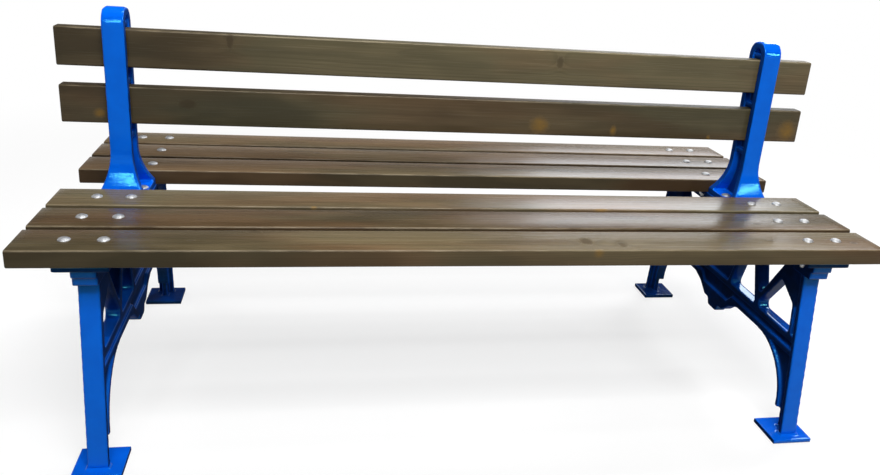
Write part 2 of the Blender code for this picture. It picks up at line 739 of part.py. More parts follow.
def make_seat_bolts():
    """Two bolts at each end of each seat board."""
    mesh = bolt_mesh("seat_bolt", SEAT_HEIGHT - PLATE_BOTTOM)
    for end in ENDS:
        names = ["seat_bolt_%s_%s_%s_%d" % (side, row_name, end, column + 1)
                 for side in SIDES for row_name in SEAT_ROWS for column in range(2)]
        for name, place in zip(names, seat_bolt_places(end, SEAT_HEIGHT)):
            part_object(name, mesh, BRIGHT_ZINC).location = place


def make_post_bolts():
    """Two bolts through the foot of each post."""
    mesh = bolt_mesh("post_bolt", POST_FOOT_TOP - PLATE_BOTTOM)
    for end in ENDS:
        for column, place in enumerate(post_bolt_places(end, POST_FOOT_TOP)):
            part_object("post_bolt_%s_%d" % (end, column + 1), mesh, BRIGHT_ZINC).location = place


def make_back_screws():
    """Screws through the rear flanges, one into each back board at each post."""
    length = POST_HALF_DEPTH - SCREW_TIP
    profile = head_profile(SCREW_HEAD_RADIUS, SCREW_HEAD_HEIGHT) + [
        (SCREW_RADIUS, CONTACT_GAP),
        (SCREW_RADIUS, SCREW_RADIUS - length),
        (0.0, -length),
    ]
    mesh = turned_mesh("back_screw", profile)
    for end in ENDS:
        for row_name, place in zip(BACK_ROWS, back_screw_places(end, POST_HALF_DEPTH)):
            screw = part_object("back_screw_%s_%s" % (row_name, end), mesh, BRIGHT_ZINC)
            screw.location = place
            screw.rotation_euler = (-pi / 2, 0.0, 0.0)


for bench_end in ENDS:
    make_end_frame(bench_end)
    make_back_post(bench_end)
    for bench_side in SIDES:
        make_foot_plate(bench_end, bench_side)
make_seat_boards()
make_back_boards()
make_seat_bolts()
make_post_bolts()
make_back_screws()
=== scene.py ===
"""Looks of the double-sided garden bench.

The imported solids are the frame. This script dresses them: cast ends and posts with soft painted
edges, stained boards with their grain, zinc bolts, and a plain studio with the camera.
"""
import math

import bmesh
import bpy
from mathutils import Matrix, Vector, noise


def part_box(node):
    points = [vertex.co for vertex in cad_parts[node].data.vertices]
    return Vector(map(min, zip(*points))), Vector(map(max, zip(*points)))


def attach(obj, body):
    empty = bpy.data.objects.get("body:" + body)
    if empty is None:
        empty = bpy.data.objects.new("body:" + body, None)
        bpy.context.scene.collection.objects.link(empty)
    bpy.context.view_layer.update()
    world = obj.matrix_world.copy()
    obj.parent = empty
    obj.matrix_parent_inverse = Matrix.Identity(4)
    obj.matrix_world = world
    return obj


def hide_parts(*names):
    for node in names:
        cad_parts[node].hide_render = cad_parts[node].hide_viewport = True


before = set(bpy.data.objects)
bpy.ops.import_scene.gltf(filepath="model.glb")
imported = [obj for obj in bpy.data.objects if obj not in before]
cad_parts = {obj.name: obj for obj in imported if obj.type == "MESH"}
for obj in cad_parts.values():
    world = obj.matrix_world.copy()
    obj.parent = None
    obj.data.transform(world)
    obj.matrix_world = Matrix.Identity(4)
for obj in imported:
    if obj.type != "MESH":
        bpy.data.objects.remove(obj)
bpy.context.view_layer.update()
scene = bpy.context.scene
scene.view_settings.view_transform = "Standard"

# Camera, found by lining up the straight edges of the bench with the photograph
IMAGE_SIZE = (880, 475)
CAMERA_PLACE = (-0.3205, -1.6643, 0.9756)
CAMERA_YAW = 0.20511
CAMERA_PITCH = -0.33511
CAMERA_ROLL = 0.07784
FOCAL_PIXELS = 797.0
CENTRE_PIXEL = (465.32, 207.96)
SENSOR_WIDTH = 36.0

# Studio
FLOOR_HALF = 30.0
FLOOR_HEIGHT = -0.0004
FLOOR_SHOWN = 0.92
FLOOR_BOUNCE = 0.04
FLOOR_GLOW = 0.72
FLOOR_FADE = (1.3, 3.2)
ROOM_LIGHT = 0.03
ROOM_FADE = (0.07, 0.17)
WINDOW_TINT = (0.91, 0.94, 1.0)

# Sizes that the pieces share with the solids
BOLT_HEAD_RADIUS = 0.0105
BOLT_HEAD_HEIGHT = 0.0048
BOLT_RADIUS = 0.004
BOLT_TAIL = 0.004
WASHER_RADIUS = 0.0085
WASHER_THICKNESS = 0.0016
NUT_RADIUS = 0.0075
NUT_HEIGHT = 0.0065
PLATE_UNDERSIDE = 0.3957
SCREW_HEAD_RADIUS = 0.0065
SCREW_HEAD_HEIGHT = 0.0035
SCREW_RADIUS = 0.003

# Fasteners
DOME_POWER = 1.25
SOCKET_RADIUS = 0.0028
SOCKET_TOP = 0.01
SOCKET_DEPTH = 0.0085
THREAD_RADIUS = 0.0005
THREAD_TURNS = 3.0
NUT_RIM_START = 0.3
NUT_DRAW_IN = -0.1
NUT_SPREAD = 2.28
FASTENER_SHARP = math.radians(35.0)
SEAT_BOLT_SEED = 11
POST_BOLT_SEED = 12
SCREW_SEED = 5

# Finish of the zinc
ZINC_MOTTLE_SCALE = 320.0
ZINC_PIT_SCALE = 1900.0
ZINC_ROUGHNESS = 0.48
ZINC_PIT_ROUGHNESS = 0.20
ZINC_BUMP = (0.12, 0.0002)

# Castings
FRAME_VOXEL = 0.0025
POST_VOXEL = 0.0017
FOOT_VOXEL = 0.0014
EDGE_ROUNDS = 4
EDGE_SMOOTHING = 0.5
CASTING_SHARP = math.radians(60.0)
MERGE_DISTANCE = 0.00001
SOLE_SLACK = 0.0001
WELD_RADIUS = 0.0032
WELD_RIPPLE = 0.0005
WELD_PITCH = 0.005
WELD_NOISE = 400.0
PLATE_TOP = 0.404
# Painted shade on the castings: a band just under the boards, the truss under the seats, post faces
# turned inwards, and the rear feet
PLATE_SHADE = (0.391, 0.395)
PLATE_PAINTED_SHADE = 0.9
ARCH_MIDDLE = 0.10
TRUSS_SHADE = (0.19, 0.28)
TRUSS_REACH = 0.27
TRUSS_PAINTED_SHADE = 0.9
POST_PAINTED_SHADE = 0.85
REAR_FOOT_TOP = 0.012
REAR_FOOT_PAINTED_SHADE = 0.95
SHADED_FACE = 0.5

# Finish of the enamel
ENAMEL_SHINE = 0.35
# Shine of the shaded copy of the enamel, laid on faces in painted shade
SHADED_ENAMEL_SHINE = 0.08
ENAMEL_GLINT = (0.13, 0.85, 1.0, 1.0)
ENAMEL_MOTTLE_SCALE = 26.0
ENAMEL_PIT_SCALE = 420.0
ENAMEL_ROUGHNESS = 0.055
MOTTLE_ROUGHNESS = 0.05
SIDE_ROUGHNESS = 0.85
ENAMEL_BUMP = (0.13, 0.0011)
# How fully the painted shade darkens the enamel, a little less where the mottling is light
PAINTED_SHADE_COVER = 0.96
PAINTED_SHADE_BREAKS = -0.10

# Height of a coat's pits and mottling
PIT_HEIGHT = 0.35
MOTTLE_HEIGHT = 0.65

# Boards
BOARD_EDGE = 0.0034
BOARD_EDGE_CHANGE = 0.0009
BOARD_CORNER_STEPS = 6
BOARD_STATION = 0.02
BOARD_END_EASE = ((0.0, 0.0016), (0.0004, 0.0008), (0.0010, 0.0003), (0.0018, 0.0))
BOARD_EDGE_NOISE = 2.3
BOARD_SHARP = math.radians(40.0)
# Darkening of the boards: partly the stain's depth, partly painted shade on the narrow faces and where
# the sheen fades along the boards
NARROW_STAIN_AND_SHADE = 0.42
DEEPEST_STAIN_AND_SHADE = 0.95
DEPTH_CHANGE = (0.05, 0.42)

# Grain: scales of the noise along and across a board, and size of the rings
RING_SPACING = 0.0042
RING_WANDER = 0.024
KNOT_BULGE = 0.0035
WANDER_SCALE = (1.1, 7.0, 7.0)
FIBRE_SCALE = (7.0, 520.0, 520.0)
STREAK_SCALE = (1.5, 75.0, 75.0)
BLOTCH_SCALE = (2.1, 9.0, 9.0)
PATCH_SCALE = (4.3, 17.0, 17.0)
SPOT_SCALE = (160.0, 260.0, 260.0)
WORN_SCALE = (45.0, 45.0, 90.0)
# Noise that breaks up the pale upper edges, partly wear and partly a painted highlight
EDGE_BREAKUP_SCALE = (14.0, 60.0, 60.0)

# Finish of the wood
FIBRE_SHARE = 0.45
STREAK_SHARE = 0.55
HUE_SHARE = 0.5
HUE_SWING = 0.45
LATE_WOOD_SHARE = 0.30
PATCH_DEPTH = (-0.14, 0.20)
# Share of the pale upper edges: partly wear, partly a painted highlight
EDGE_WEAR_AND_HIGHLIGHT_SHARE = 0.5
KNOT_SHARE = 0.5
BARE_SHARE = 0.7
KNOT_RAGGEDNESS = 1.0
PATCH_RAGGEDNESS = 0.7
WOOD_ROUGHNESS = 0.19
FIBRE_ROUGHNESS = 0.14
NARROW_ROUGHNESS = 0.3
KNOT_ROUGHNESS = 0.35
BARE_ROUGHNESS = 0.3
LATE_WOOD_HEIGHT = 0.4
TONE_HEIGHT = 0.6
WOOD_BUMP = (0.16, 0.0006)
WOOD_SHINE = 0.16

# Marks on the boards: centre, and reach along each axis or right through the board
THROUGH = 0.0
KNOTS = (
    ((0.192, -0.340, 0.0), (0.015, 0.022, THROUGH)),
    ((0.258, -0.356, 0.0), (0.010, 0.016, THROUGH)),
    ((0.577, -0.334, 0.0), (0.008, 0.004, THROUGH)),
    ((0.755, -0.346, 0.0), (0.009, 0.006, THROUGH)),
    ((0.600, -0.241, 0.0), (0.013, 0.004, THROUGH)),
    ((-0.518, -0.338, 0.0), (0.009, 0.004, THROUGH)),
    ((-0.417, -0.297, 0.0), (0.020, 0.004, THROUGH)),
    ((-0.516, -0.238, 0.0), (0.010, 0.003, THROUGH)),
    ((-0.300, 0.228, 0.0), (0.014, 0.006, THROUGH)),
    ((0.340, 0.330, 0.0), (0.013, 0.005, THROUGH)),
    ((-0.561, 0.0, 0.605), (0.022, THROUGH, 0.013)),
    ((-0.477, 0.0, 0.736), (0.009, THROUGH, 0.022)),
    ((0.205, 0.0, 0.722), (0.010, THROUGH, 0.018)),
)
WORN_PATCHES = (
    ((0.173, -0.016, 0.584), (0.026, 0.012, 0.022)),
    ((0.345, -0.016, 0.576), (0.009, 0.012, 0.014)),
    ((0.577, -0.016, 0.567), (0.006, 0.010, 0.007)),
    ((0.772, -0.016, 0.588), (0.027, 0.012, 0.030)),
    ((-0.728, -0.016, 0.581), (0.014, 0.012, 0.012)),
    ((0.203, -0.384, 0.434), (0.012, 0.010, 0.012)),
    ((0.286, -0.160, 0.440), (0.024, 0.007, 0.010)),
    ((-0.311, -0.160, 0.440), (0.008, 0.006, 0.010)),
)

# Colours
ENAMEL_BLUE = (0.0008, 0.112, 0.690)
ENAMEL_DEEP = (0.0006, 0.096, 0.635)
# Enamel colour in painted shade
ENAMEL_SHADED_COLOUR = (0.004, 0.011, 0.042)
STAIN_DARK = (0.085, 0.063, 0.031)
STAIN_LIGHT = (0.151, 0.113, 0.060)
STAIN_RED = (0.170, 0.097, 0.051)
STAIN_OLIVE = (0.112, 0.104, 0.059)
DEEP_OLIVE = (0.036, 0.032, 0.017)
DEEP_RED = (0.046, 0.027, 0.012)
# Pale upper edges of the boards: partly wear, partly a painted highlight
WORN_AND_LIT_EDGE = (0.300, 0.245, 0.160)
KNOT_DARK = (0.030, 0.020, 0.011)
BARE_WOOD = (0.270, 0.145, 0.022)
ZINC_LIGHT = (0.50, 0.505, 0.51)
ZINC_DULL = (0.34, 0.345, 0.355)


# Node helpers

def place_node(tree, kind, inputs=None, **settings):
    """Adds a node, and sets each input to a value or links it to another node's output."""
    node = tree.nodes.new(kind)
    for name, value in settings.items():
        setattr(node, name, value)
    for socket, value in (inputs or {}).items():
        if isinstance(value, bpy.types.NodeSocket):
            tree.links.new(value, node.inputs[socket])
        else:
            node.inputs[socket].default_value = value
    return node


def math_of(tree, operation, first, second=0.0, third=0.0, clamp=False):
    """Output of one Math node."""
    inputs = {0: first, 1: second, 2: third}
    return place_node(tree, "ShaderNodeMath", inputs, operation=operation, use_clamp=clamp).outputs[0]


def vector_of(tree, operation, first, second):
    """Vector output of one Vector Math node."""
    return place_node(tree, "ShaderNodeVectorMath", {0: first, 1: second}, operation=operation).outputs[0]


def length_of(tree, vector):
    """Length of a vector."""
    return place_node(tree, "ShaderNodeVectorMath", {0: vector}, operation="LENGTH").outputs["Value"]


def weighted(tree, first, first_share, second, second_share):
    """Sum of two values, each by its share."""
    second_part = math_of(tree, "MULTIPLY", second, second_share)
    return math_of(tree, "MULTIPLY_ADD", first, first_share, second_part)


def attribute_of(tree, name):
    """Value of a mesh attribute."""
    return place_node(tree, "ShaderNodeAttribute", attribute_name=name).outputs["Fac"]


def ramp_of(tree, value, low, high, start=0.0, end=1.0):
    """Soft step from start to end while the value goes from low to high."""
    inputs = {"Value": value, "From Min": low, "From Max": high, "To Min": start, "To Max": end}
    node = place_node(tree, "ShaderNodeMapRange", inputs, interpolation_type="SMOOTHSTEP")
    return node.outputs["Result"]


def noise_of(tree, place, stretch, detail=2.0, roughness=0.5):
    """Noise whose grain is stretched along the axes by the given scales."""
    scaled = vector_of(tree, "MULTIPLY", place, stretch)
    inputs = {"Vector": scaled, "Scale": 1.0, "Detail": detail, "Roughness": roughness}
    return place_node(tree, "ShaderNodeTexNoise", inputs).outputs["Fac"]


def colour_mix(tree, share, first, second):
    """Colour between two colours."""
    node = tree.nodes.new("ShaderNodeMix")
    node.data_type = "RGBA"
    sockets = [socket for socket in node.inputs if socket.type == "RGBA"]
    for socket, value in zip([node.inputs[0]] + sockets, (share, first, second)):
        if isinstance(value, bpy.types.NodeSocket):
            tree.links.new(value, socket)
        elif isinstance(value, tuple):
            socket.default_value = (*value, 1.0)
        else:
            socket.default_value = value
    return [socket for socket in node.outputs if socket.type == "RGBA"][0]


def new_group(name, kind, inputs, outputs):
    """A node group with named sockets: its tree, what it is given and what it puts out."""
    tree = bpy.data.node_groups.new(name, kind)
    for label, socket in inputs:
        tree.interface.new_socket(label, in_out="INPUT", socket_type="NodeSocket" + socket)
    for label, socket in outputs:
        tree.interface.new_socket(label, in_out="OUTPUT", socket_type="NodeSocket" + socket)
    given = tree.nodes.new("NodeGroupInput").outputs
    result = tree.nodes.new("NodeGroupOutput").inputs
    return tree, given, result


def use_group(tree, group, inputs):
    """Places a shader group in a material with its own values."""
    return place_node(tree, "ShaderNodeGroup", inputs, node_tree=group).outputs


def new_material(name):
    """A material with a plain Principled shader: the material, its tree and the shader."""
    material = bpy.data.materials.new(name)
    material.use_nodes = True
    tree = material.node_tree
    return material, tree, tree.nodes["Principled BSDF"]


def put(tree, shader, socket, value):
    """Links a varying value into the shader."""
    tree.links.new(value, shader.inputs[socket])


def put_bump(tree, shader, bump, height):
    """Raises the surface by a height, with the strength and distance of a bump."""
    strength, distance = bump
    inputs = {"Strength": strength, "Distance": distance, "Height": height}
    put(tree, shader, "Normal", place_node(tree, "ShaderNodeBump", inputs).outputs["Normal"])


# Shader groups

def make_unevenness_group():
    """Slow mottling and fine pits of a coated metal surface."""
    tree, given, result = new_group(
        "coat_unevenness", "ShaderNodeTree",
        (("Place", "Vector"), ("Mottle Scale", "Float"), ("Pit Scale", "Float")),
        (("Mottle", "Float"), ("Pits", "Float"), ("Height", "Float")))
    slow = place_node(tree, "ShaderNodeTexNoise", {
        "Vector": given["Place"], "Scale": given["Mottle Scale"],
        "Detail": 3.0, "Roughness": 0.55}).outputs["Fac"]
    fine = place_node(tree, "ShaderNodeTexNoise", {
        "Vector": given["Place"], "Scale": given["Pit Scale"],
        "Detail": 2.0, "Roughness": 0.5}).outputs["Fac"]
    mottle = ramp_of(tree, slow, 0.3, 0.7)
    height = weighted(tree, fine, PIT_HEIGHT, slow, MOTTLE_HEIGHT)
    tree.links.new(mottle, result["Mottle"])
    tree.links.new(fine, result["Pits"])
    tree.links.new(height, result["Height"])
    return tree


def make_spot_group():
    """A spot with a ragged edge, for a knot or a worn patch."""
    tree, given, result = new_group(
        "ragged_spot", "ShaderNodeTree",
        (("Place", "Vector"), ("Centre", "Vector"),
         ("Narrowness", "Vector"), ("Raggedness", "Float")),
        (("Mask", "Float"), ("Nearness", "Float")))
    away = vector_of(tree, "SUBTRACT", given["Place"], given["Centre"])
    distance = length_of(tree, vector_of(tree, "MULTIPLY", away, given["Narrowness"]))
    rough = noise_of(tree, given["Place"], SPOT_SCALE, 3.0, 0.6)
    swing = math_of(tree, "SUBTRACT", rough, 0.5)
    ragged = math_of(tree, "MULTIPLY_ADD", swing, given["Raggedness"], distance)
    tree.links.new(ramp_of(tree, ragged, 1.1, 0.0), result["Mask"])
    tree.links.new(ramp_of(tree, distance, 3.0, 0.0), result["Nearness"])
    return tree


def make_grain_group():
    """Growth rings, fibres and stain blotches of a sawn softwood board."""
    tree, given, result = new_group(
        "board_grain", "ShaderNodeTree",
        (("Place", "Vector"), ("Bulge", "Float"), ("Ring Spacing", "Float")),
        (("Late Wood", "Float"), ("Fibre", "Float"), ("Streak", "Float"),
         ("Blotch", "Float"), ("Patch", "Float")))
    place = given["Place"]
    across = vector_of(tree, "MULTIPLY", place, (0.0, 1.0, 1.0))
    wander = math_of(tree, "SUBTRACT", noise_of(tree, place, WANDER_SCALE, 3.0, 0.5), 0.5)
    radius = math_of(tree, "MULTIPLY_ADD", wander, RING_WANDER, length_of(tree, across))
    radius = math_of(tree, "MULTIPLY_ADD", given["Bulge"], KNOT_BULGE, radius)
    rings = math_of(tree, "DIVIDE", radius, given["Ring Spacing"])
    phase = math_of(tree, "FRACT", rings)
    rising = ramp_of(tree, phase, 0.35, 0.90)
    dense = math_of(tree, "MULTIPLY", rising, ramp_of(tree, phase, 1.0, 0.93))
    count = {"W": math_of(tree, "FLOOR", rings)}
    year = place_node(tree, "ShaderNodeTexWhiteNoise", count, noise_dimensions="1D").outputs["Value"]
    late = math_of(tree, "MULTIPLY", dense, math_of(tree, "MULTIPLY_ADD", year, 0.7, 0.3))
    tree.links.new(late, result["Late Wood"])
    tree.links.new(noise_of(tree, place, FIBRE_SCALE, 3.0, 0.6), result["Fibre"])
    tree.links.new(noise_of(tree, place, STREAK_SCALE, 2.0, 0.5), result["Streak"])
    tree.links.new(noise_of(tree, place, BLOTCH_SCALE, 2.0, 0.5), result["Blotch"])
    tree.links.new(noise_of(tree, place, PATCH_SCALE, 2.0, 0.5), result["Patch"])
    return tree


UNEVENNESS = make_unevenness_group()
SPOT = make_spot_group()
GRAIN = make_grain_group()


# Materials

def make_enamel(name, shine):
    """Blue enamel over cast iron, glossy, darkened by painted shade where seats and frame shade it."""
    material, tree, shader = new_material(name)
    place = place_node(tree, "ShaderNodeTexCoord").outputs["Object"]
    coat = use_group(tree, UNEVENNESS, {
        "Place": place, "Mottle Scale": ENAMEL_MOTTLE_SCALE, "Pit Scale": ENAMEL_PIT_SCALE})
    # Painted shade from the attribute darkens the enamel
    cover = math_of(tree, "MULTIPLY_ADD", coat["Mottle"], PAINTED_SHADE_BREAKS, PAINTED_SHADE_COVER)
    shade_amount = math_of(tree, "MULTIPLY", attribute_of(tree, "painted_shade"), cover)
    enamel = colour_mix(tree, coat["Mottle"], ENAMEL_DEEP, ENAMEL_BLUE)
    put(tree, shader, "Base Color", colour_mix(tree, shade_amount, enamel, ENAMEL_SHADED_COLOUR))
    gloss = math_of(tree, "MULTIPLY_ADD", coat["Mottle"], MOTTLE_ROUGHNESS, ENAMEL_ROUGHNESS)
    gloss = math_of(tree, "MULTIPLY_ADD", attribute_of(tree, "side"), SIDE_ROUGHNESS, gloss)
    put(tree, shader, "Roughness", gloss)
    put_bump(tree, shader, ENAMEL_BUMP, coat["Height"])
    shader.inputs["Specular IOR Level"].default_value = shine
    shader.inputs["Specular Tint"].default_value = ENAMEL_GLINT
    return material


def spot_of(tree, place, mark, raggedness):
    """Outputs of one spot group set to a mark."""
    centre, reach = mark
    narrowness = tuple(1.0 / size if size else 0.0 for size in reach)
    return use_group(tree, SPOT, {"Place": place, "Centre": centre, "Narrowness": narrowness,
                                  "Raggedness": raggedness})


def strongest(tree, values):
    """The greatest of several values."""
    best = values[0]
    for value in values[1:]:
        best = math_of(tree, "MAXIMUM", best, value)
    return best


def make_stained_wood():
    """Planed softwood under a dark, half-gloss stain."""
    material, tree, shader = new_material("stained_wood")
    place = place_node(tree, "ShaderNodeTexCoord").outputs["Object"]
    along = place_node(tree, "ShaderNodeAttribute", attribute_name="grain").outputs["Vector"]
    knots = [spot_of(tree, place, mark, KNOT_RAGGEDNESS) for mark in KNOTS]
    patches = [spot_of(tree, place, mark, PATCH_RAGGEDNESS) for mark in WORN_PATCHES]
    knot = ramp_of(tree, strongest(tree, [spot["Mask"] for spot in knots]), 0.0, 0.6)
    bulge = strongest(tree, [spot["Nearness"] for spot in knots])
    broken = ramp_of(tree, noise_of(tree, place, WORN_SCALE, 3.0, 0.6), 0.25, 0.75, 0.5, 1.0)
    bare = math_of(tree, "MULTIPLY", broken, strongest(tree, [spot["Mask"] for spot in patches]))
    # Pale upper edges, partly wear and partly a painted highlight, broken by noise
    edge_breakup = ramp_of(tree, noise_of(tree, place, EDGE_BREAKUP_SCALE, 3.0, 0.6), 0.35, 0.62, 0.2, 1.0)
    worn_and_lit_edge = math_of(tree, "MULTIPLY", attribute_of(tree, "arris"), edge_breakup)
    grain = use_group(tree, GRAIN, {"Place": along, "Bulge": bulge, "Ring Spacing": RING_SPACING})

    # Colour, from the stain's tone and hue to its depth and the marks on it; the depth carries painted
    # shade too, and the pale upper edges are partly a painted highlight
    tone = weighted(tree, grain["Fibre"], FIBRE_SHARE, grain["Streak"], STREAK_SHARE)
    stain = colour_mix(tree, ramp_of(tree, tone, 0.32, 0.68), STAIN_DARK, STAIN_LIGHT)
    blotch = ramp_of(tree, grain["Blotch"], 0.36, 0.64, -HUE_SWING, HUE_SWING)
    redness = math_of(tree, "ADD", blotch, attribute_of(tree, "warmth"), clamp=True)
    stain = colour_mix(tree, HUE_SHARE, stain, colour_mix(tree, redness, STAIN_OLIVE, STAIN_RED))
    deep = colour_mix(tree, redness, DEEP_OLIVE, DEEP_RED)
    late = math_of(tree, "MULTIPLY", grain["Late Wood"], LATE_WOOD_SHARE)
    stain = colour_mix(tree, late, stain, deep)
    patchy = ramp_of(tree, grain["Patch"], 0.36, 0.64, *PATCH_DEPTH)
    # The depth attribute darkens the stain: partly stain, partly painted shade
    depth = math_of(tree, "ADD", attribute_of(tree, "depth"), patchy, clamp=True)
    stain = colour_mix(tree, depth, stain, deep)
    for mask, share, colour in ((worn_and_lit_edge, EDGE_WEAR_AND_HIGHLIGHT_SHARE, WORN_AND_LIT_EDGE),
                                (knot, KNOT_SHARE, KNOT_DARK),
                                (bare, BARE_SHARE, BARE_WOOD)):
        stain = colour_mix(tree, math_of(tree, "MULTIPLY", mask, share), stain, colour)
    put(tree, shader, "Base Color", stain)

    # Gloss and raised grain
    gloss = math_of(tree, "MULTIPLY_ADD", grain["Fibre"], FIBRE_ROUGHNESS, WOOD_ROUGHNESS)
    for mask, change in ((attribute_of(tree, "narrow"), NARROW_ROUGHNESS),
                         (knot, KNOT_ROUGHNESS),
                         (bare, BARE_ROUGHNESS)):
        gloss = math_of(tree, "MULTIPLY_ADD", mask, change, gloss)
    put(tree, shader, "Roughness", gloss)
    height = weighted(tree, grain["Late Wood"], LATE_WOOD_HEIGHT, tone, TONE_HEIGHT)
    put_bump(tree, shader, WOOD_BUMP, height)
    shader.inputs["Specular IOR Level"].default_value = WOOD_SHINE
    return material


def make_zinc():
    """Bright zinc plating on turned steel."""
    material, tree, shader = new_material("bright_zinc")
    place = place_node(tree, "ShaderNodeTexCoord").outputs["Object"]
    coat = use_group(tree, UNEVENNESS, {
        "Place": place, "Mottle Scale": ZINC_MOTTLE_SCALE, "Pit Scale": ZINC_PIT_SCALE})
    put(tree, shader, "Base Color", colour_mix(tree, coat["Mottle"], ZINC_DULL, ZINC_LIGHT))
    gloss = math_of(tree, "MULTIPLY_ADD", coat["Pits"], ZINC_PIT_ROUGHNESS, ZINC_ROUGHNESS)
    put(tree, shader, "Roughness", gloss)
    put_bump(tree, shader, ZINC_BUMP, coat["Height"])
    shader.inputs["Metallic"].default_value = 1.0
    return material


ENAMEL = make_enamel("blue_enamel", ENAMEL_SHINE)
# Shaded copy of the enamel, with little shine, for faces in painted shade
SHADED_ENAMEL = make_enamel("shaded_blue_enamel", SHADED_ENAMEL_SHINE)
STAINED_WOOD = make_stained_wood()
ZINC = make_zinc()


# Mesh helpers

def new_object(name, mesh, material):
    """An object at the origin with one material."""
    piece = bpy.data.objects.new(name, mesh)
    scene.collection.objects.link(piece)
    mesh.materials.clear()
    mesh.materials.append(material)
    return piece


def node_copy(node):
    """A merged copy of a solid's mesh, in an edit mesh."""
    edit = bmesh.new()
    edit.from_mesh(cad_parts[node].data)
    bmesh.ops.remove_doubles(edit, verts=edit.verts, dist=MERGE_DISTANCE)
    return edit


def to_mesh(edit, name):
    """Turns an edit mesh into a mesh."""
    mesh = bpy.data.meshes.new(name)
    edit.to_mesh(mesh)
    edit.free()
    return mesh


def settle(piece, sharp_angle):
    """Applies the modifiers of a piece and shades it smooth up to an angle."""
    graph = bpy.context.evaluated_depsgraph_get()
    mesh = bpy.data.meshes.new_from_object(piece.evaluated_get(graph))
    piece.modifiers.clear()
    piece.data = mesh
    mesh.shade_smooth()
    mesh.set_sharp_from_angle(angle=sharp_angle)
    return piece


def hand_over(piece, nodes):
    """Hangs the piece under the root body and hides the solids that it stands for."""
    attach(piece, "root")
    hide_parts(*nodes)


def soften(piece, voxel):
    """Rounds the edges and fills the corners of a casting, as thick paint over iron does."""
    skin = piece.modifiers.new("skin", "REMESH")
    skin.mode = "VOXEL"
    skin.voxel_size = voxel
    edges = piece.modifiers.new("edges", "SMOOTH")
    edges.factor = EDGE_SMOOTHING
    edges.iterations = EDGE_ROUNDS
    return settle(piece, CASTING_SHARP)


# Castings

def share_between(value, span):
    """How far a value is from the start of a span to its end, from none to all."""
    return min(1.0, max(0.0, (value - span[0]) / (span[1] - span[0])))


def turned_in(place, facing):
    """How much shade is painted at a point: most where it faces inwards or lies under a seat."""
    along = -facing.x * math.copysign(1.0, place.x)
    if place.z > PLATE_TOP:
        return POST_PAINTED_SHADE * max(0.0, along) ** 2
    across = -facing.y * math.copysign(1.0, place.y) if abs(place.y) > ARCH_MIDDLE else 0.0
    shade_amount = max(0.0, along, across, -facing.z) ** 2
    if place.z < REAR_FOOT_TOP and place.y > ARCH_MIDDLE:
        shade_amount = max(shade_amount, REAR_FOOT_PAINTED_SHADE)
    if abs(place.y) < TRUSS_REACH:
        under_seat_shade = share_between(place.z, TRUSS_SHADE) * min(1.0, 1.0 + along)
        shade_amount = max(shade_amount, TRUSS_PAINTED_SHADE * under_seat_shade)
    return max(shade_amount, PLATE_PAINTED_SHADE * share_between(place.z, PLATE_SHADE))


def mark_sides(piece):
    """Marks where a casting faces sideways or down, left as cast, and where shade is painted on it."""
    mesh = piece.data
    side = mesh.attributes.new("side", "FLOAT", "POINT")
    painted_shade = mesh.attributes.new("painted_shade", "FLOAT", "POINT")
    shade_amount = []
    for index, normal in enumerate(mesh.vertex_normals):
        facing = normal.vector
        side.data[index].value = facing.x ** 2 + min(0.0, facing.z) ** 2
        shade_amount.append(turned_in(mesh.vertices[index].co, facing))
        painted_shade.data[index].value = shade_amount[index]
    # Faces mostly in painted shade take the shaded copy of the enamel
    mesh.materials.append(SHADED_ENAMEL)
    for face in mesh.polygons:
        mean = sum(shade_amount[corner] for corner in face.vertices) / len(face.vertices)
        face.material_index = int(mean > SHADED_FACE)
    return piece


def make_casting(node, voxel):
    """An end frame or a back post."""
    piece = new_object(node + "_casting", to_mesh(node_copy(node), node), ENAMEL)
    hand_over(mark_sides(soften(piece, voxel)), [node])


def leg_outline(frame_node, front):
    """Corners of the leg's lower face, in order round it."""
    edit = node_copy(frame_node)
    lowest = min(vertex.co.z for vertex in edit.verts)
    sole = [face for face in edit.faces
            if max(vertex.co.z for vertex in face.verts) < lowest + SOLE_SLACK
            and (face.calc_center_median().y < 0.0) == front]
    rim = [edge for face in sole for edge in face.edges
           if sum(other in sole for other in edge.link_faces) == 1]
    outline = [rim[0].verts[0], rim[0].verts[1]]
    rim.pop(0)
    while rim:
        step = next(edge for edge in rim if outline[-1] in edge.verts)
        rim.remove(step)
        outline.append(step.other_vert(outline[-1]))
    corners = [vertex.co.copy() for vertex in outline[:-1]]
    edit.free()
    return corners


def make_foot(side, end):
    """A foot plate with the painted weld round its leg."""
    node = "foot_plate_%s_%s" % (side, end)
    plate_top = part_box(node)[1][2]
    edit = node_copy(node)
    corners = leg_outline("end_frame_" + end, side == "front")
    for start, finish in zip(corners, corners[1:] + corners[:1]):
        span = finish - start
        beads = max(1, round(span.length / WELD_PITCH * 2))
        for step in range(beads):
            spot = start + span * (step / beads)
            swell = WELD_RIPPLE * noise.noise(spot * WELD_NOISE)
            place = Matrix.Translation((spot.x, spot.y, plate_top))
            bmesh.ops.create_uvsphere(edit, u_segments=12, v_segments=8, matrix=place,
                                      radius=WELD_RADIUS + swell)
    piece = new_object(node + "_welded", to_mesh(edit, node), ENAMEL)
    hand_over(mark_sides(soften(piece, FOOT_VOXEL)), [node])


for bench_end in ("left", "right"):
    make_casting("end_frame_" + bench_end, FRAME_VOXEL)
    make_casting("back_post_" + bench_end, POST_VOXEL)
    for bench_side in ("front", "rear"):
        make_foot(bench_side, bench_end)


# Boards

